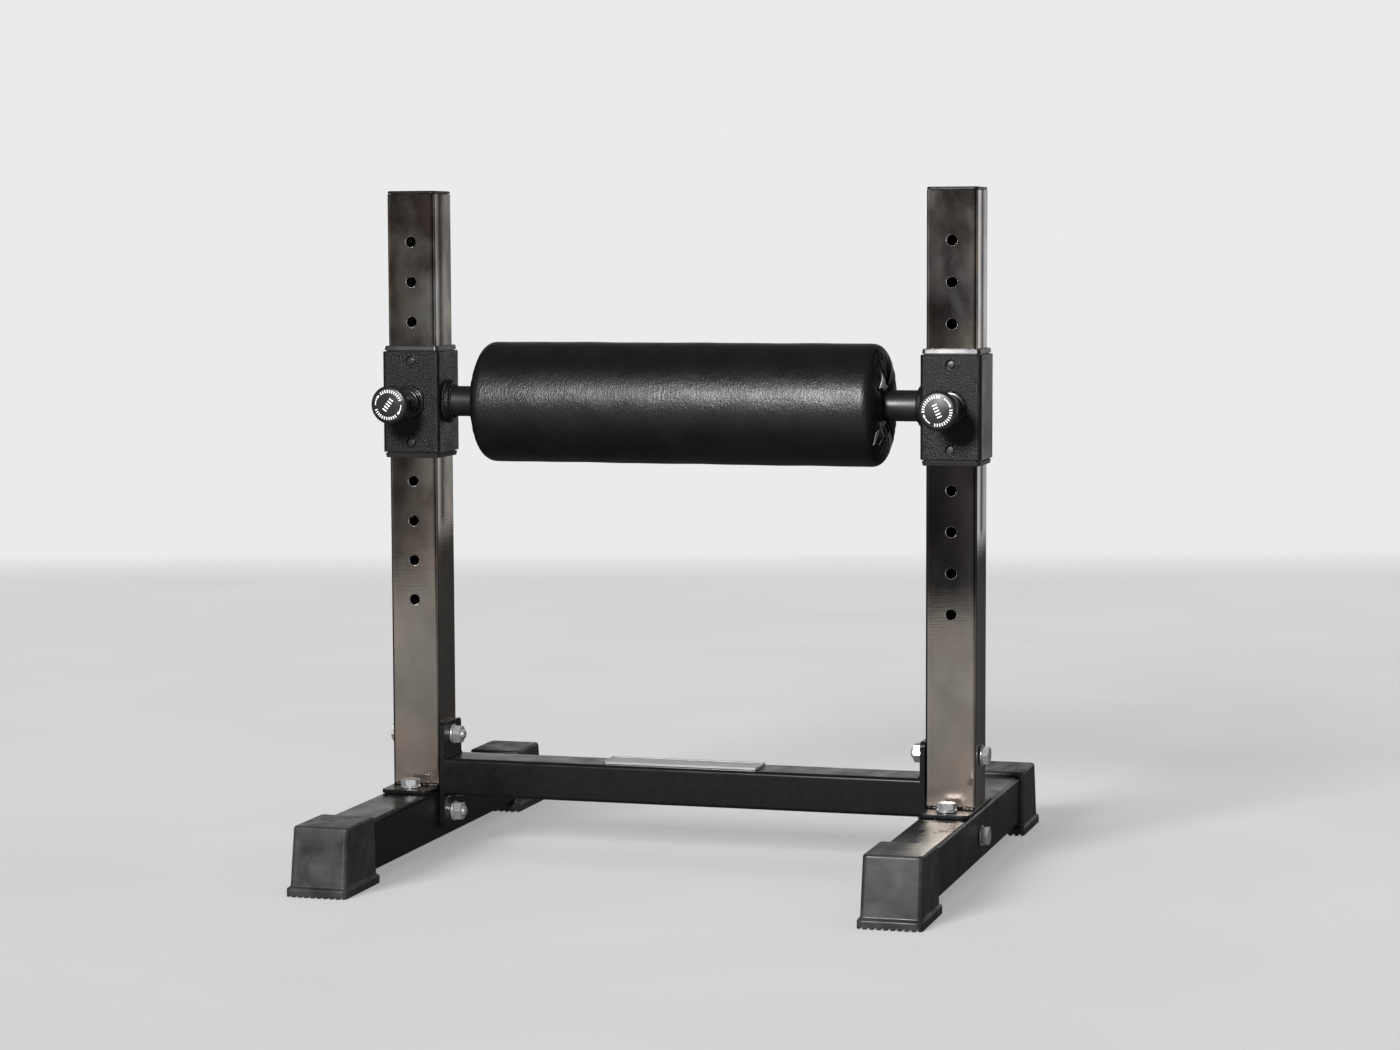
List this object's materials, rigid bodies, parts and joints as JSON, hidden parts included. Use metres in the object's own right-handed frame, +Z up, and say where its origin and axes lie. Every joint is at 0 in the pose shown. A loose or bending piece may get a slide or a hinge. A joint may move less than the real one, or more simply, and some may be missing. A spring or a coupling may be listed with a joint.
{
  "type": "split squat stand",
  "caption": "Low stand with square uprights and a round padded bar that slides on them and locks at set heights with spring pull pins.",
  "frame": {"origin": "on the floor under the middle of the stand", "axes": "+X along the crossmember to the right as seen from the pull pins, +Y to the back, +Z up"},
  "size_m": [0.62, 0.583, 0.6652],
  "materials": {
    "black_coat": "satin",
    "black_texture": "matte",
    "black_satin": "satin",
    "dark_chrome": "polished",
    "rubber": "matte",
    "zinc": "satin",
    "plate_metal": "satin",
    "cap_plastic": "gloss",
    "liner_plastic": "gloss",
    "knob_plastic": "satin",
    "core_plastic": "matte",
    "foam": "matte",
    "leather": "satin"
  },
  "bodies": {
    "stand": {"left_base_tube": "black_coat", "left_front_boot": "rubber", "left_rear_boot": "rubber", "left_upright": "dark_chrome", "left_upright_cap": "cap_plastic", "left_front_foot_washer": "zinc", "left_front_foot_bolt": "zinc", "left_rear_foot_washer": "zinc", "left_rear_foot_bolt": "zinc", "left_lower_cross_bolt": "zinc", "left_lower_head_washer": "zinc", "left_lower_nut_washer": "zinc", "left_lower_acorn_nut": "zinc", "left_upper_cross_bolt": "zinc", "left_upper_head_washer": "zinc", "left_upper_nut_washer": "zinc", "left_upper_acorn_nut": "zinc", "right_base_tube": "black_coat", "right_front_boot": "rubber", "right_rear_boot": "rubber", "right_upright": "dark_chrome", "right_upright_cap": "cap_plastic", "right_front_foot_washer": "zinc", "right_front_foot_bolt": "zinc", "right_rear_foot_washer": "zinc", "right_rear_foot_bolt": "zinc", "right_lower_cross_bolt": "zinc", "right_lower_head_washer": "zinc", "right_lower_nut_washer": "zinc", "right_lower_acorn_nut": "zinc", "right_upper_cross_bolt": "zinc", "right_upper_head_washer": "zinc", "right_upper_nut_washer": "zinc", "right_upper_acorn_nut": "zinc", "crossmember": "black_coat", "nameplate": "plate_metal"},
    "carriage": {"left_sleeve": "black_texture", "left_upper_liner": "liner_plastic", "left_lower_liner": "liner_plastic", "left_pin_barrel": "black_satin", "left_pin_spring": "zinc", "right_sleeve": "black_texture", "right_upper_liner": "liner_plastic", "right_lower_liner": "liner_plastic", "right_pin_barrel": "black_satin", "right_pin_spring": "zinc", "axle": "black_satin"},
    "pad": {"pad_core": "core_plastic", "pad_foam": "foam", "pad_cover": "leather"},
    "left_pin": {"left_pull_pin": "zinc"},
    "left_knob_grip": {"left_knob": "knob_plastic"},
    "right_pin": {"right_pull_pin": "zinc"},
    "right_knob_grip": {"right_knob": "knob_plastic"}
  },
  "joints": [
    {"name": "carriage_slide", "type": "slide", "parent": "stand", "child": "carriage", "axis": [0, 0, 1], "range_m": [-0.2, 0.16]},
    {"name": "pad_spin", "type": "hinge", "parent": "carriage", "child": "pad", "pos_m": [0, 0, 0.4543], "axis": [1, 0, 0], "continuous": true},
    {"name": "left_pin_slide", "type": "slide", "parent": "carriage", "child": "left_pin", "axis": [0, -1, 0], "range_m": [-0.018, 0.003], "stiffness_N_per_m": 350, "springref_m": -0.038, "deforming": ["left_pin_spring"]},
    {"name": "left_knob_turn", "type": "hinge", "parent": "left_pin", "child": "left_knob_grip", "pos_m": [-0.276, -0.09, 0.4543], "axis": [0, -1, 0], "continuous": true},
    {"name": "right_pin_slide", "type": "slide", "parent": "carriage", "child": "right_pin", "axis": [0, -1, 0], "range_m": [-0.018, 0.003], "stiffness_N_per_m": 350, "springref_m": -0.038, "deforming": ["right_pin_spring"]},
    {"name": "right_knob_turn", "type": "hinge", "parent": "right_pin", "child": "right_knob_grip", "pos_m": [0.276, -0.09, 0.4543], "axis": [0, -1, 0], "continuous": true}
  ]
}
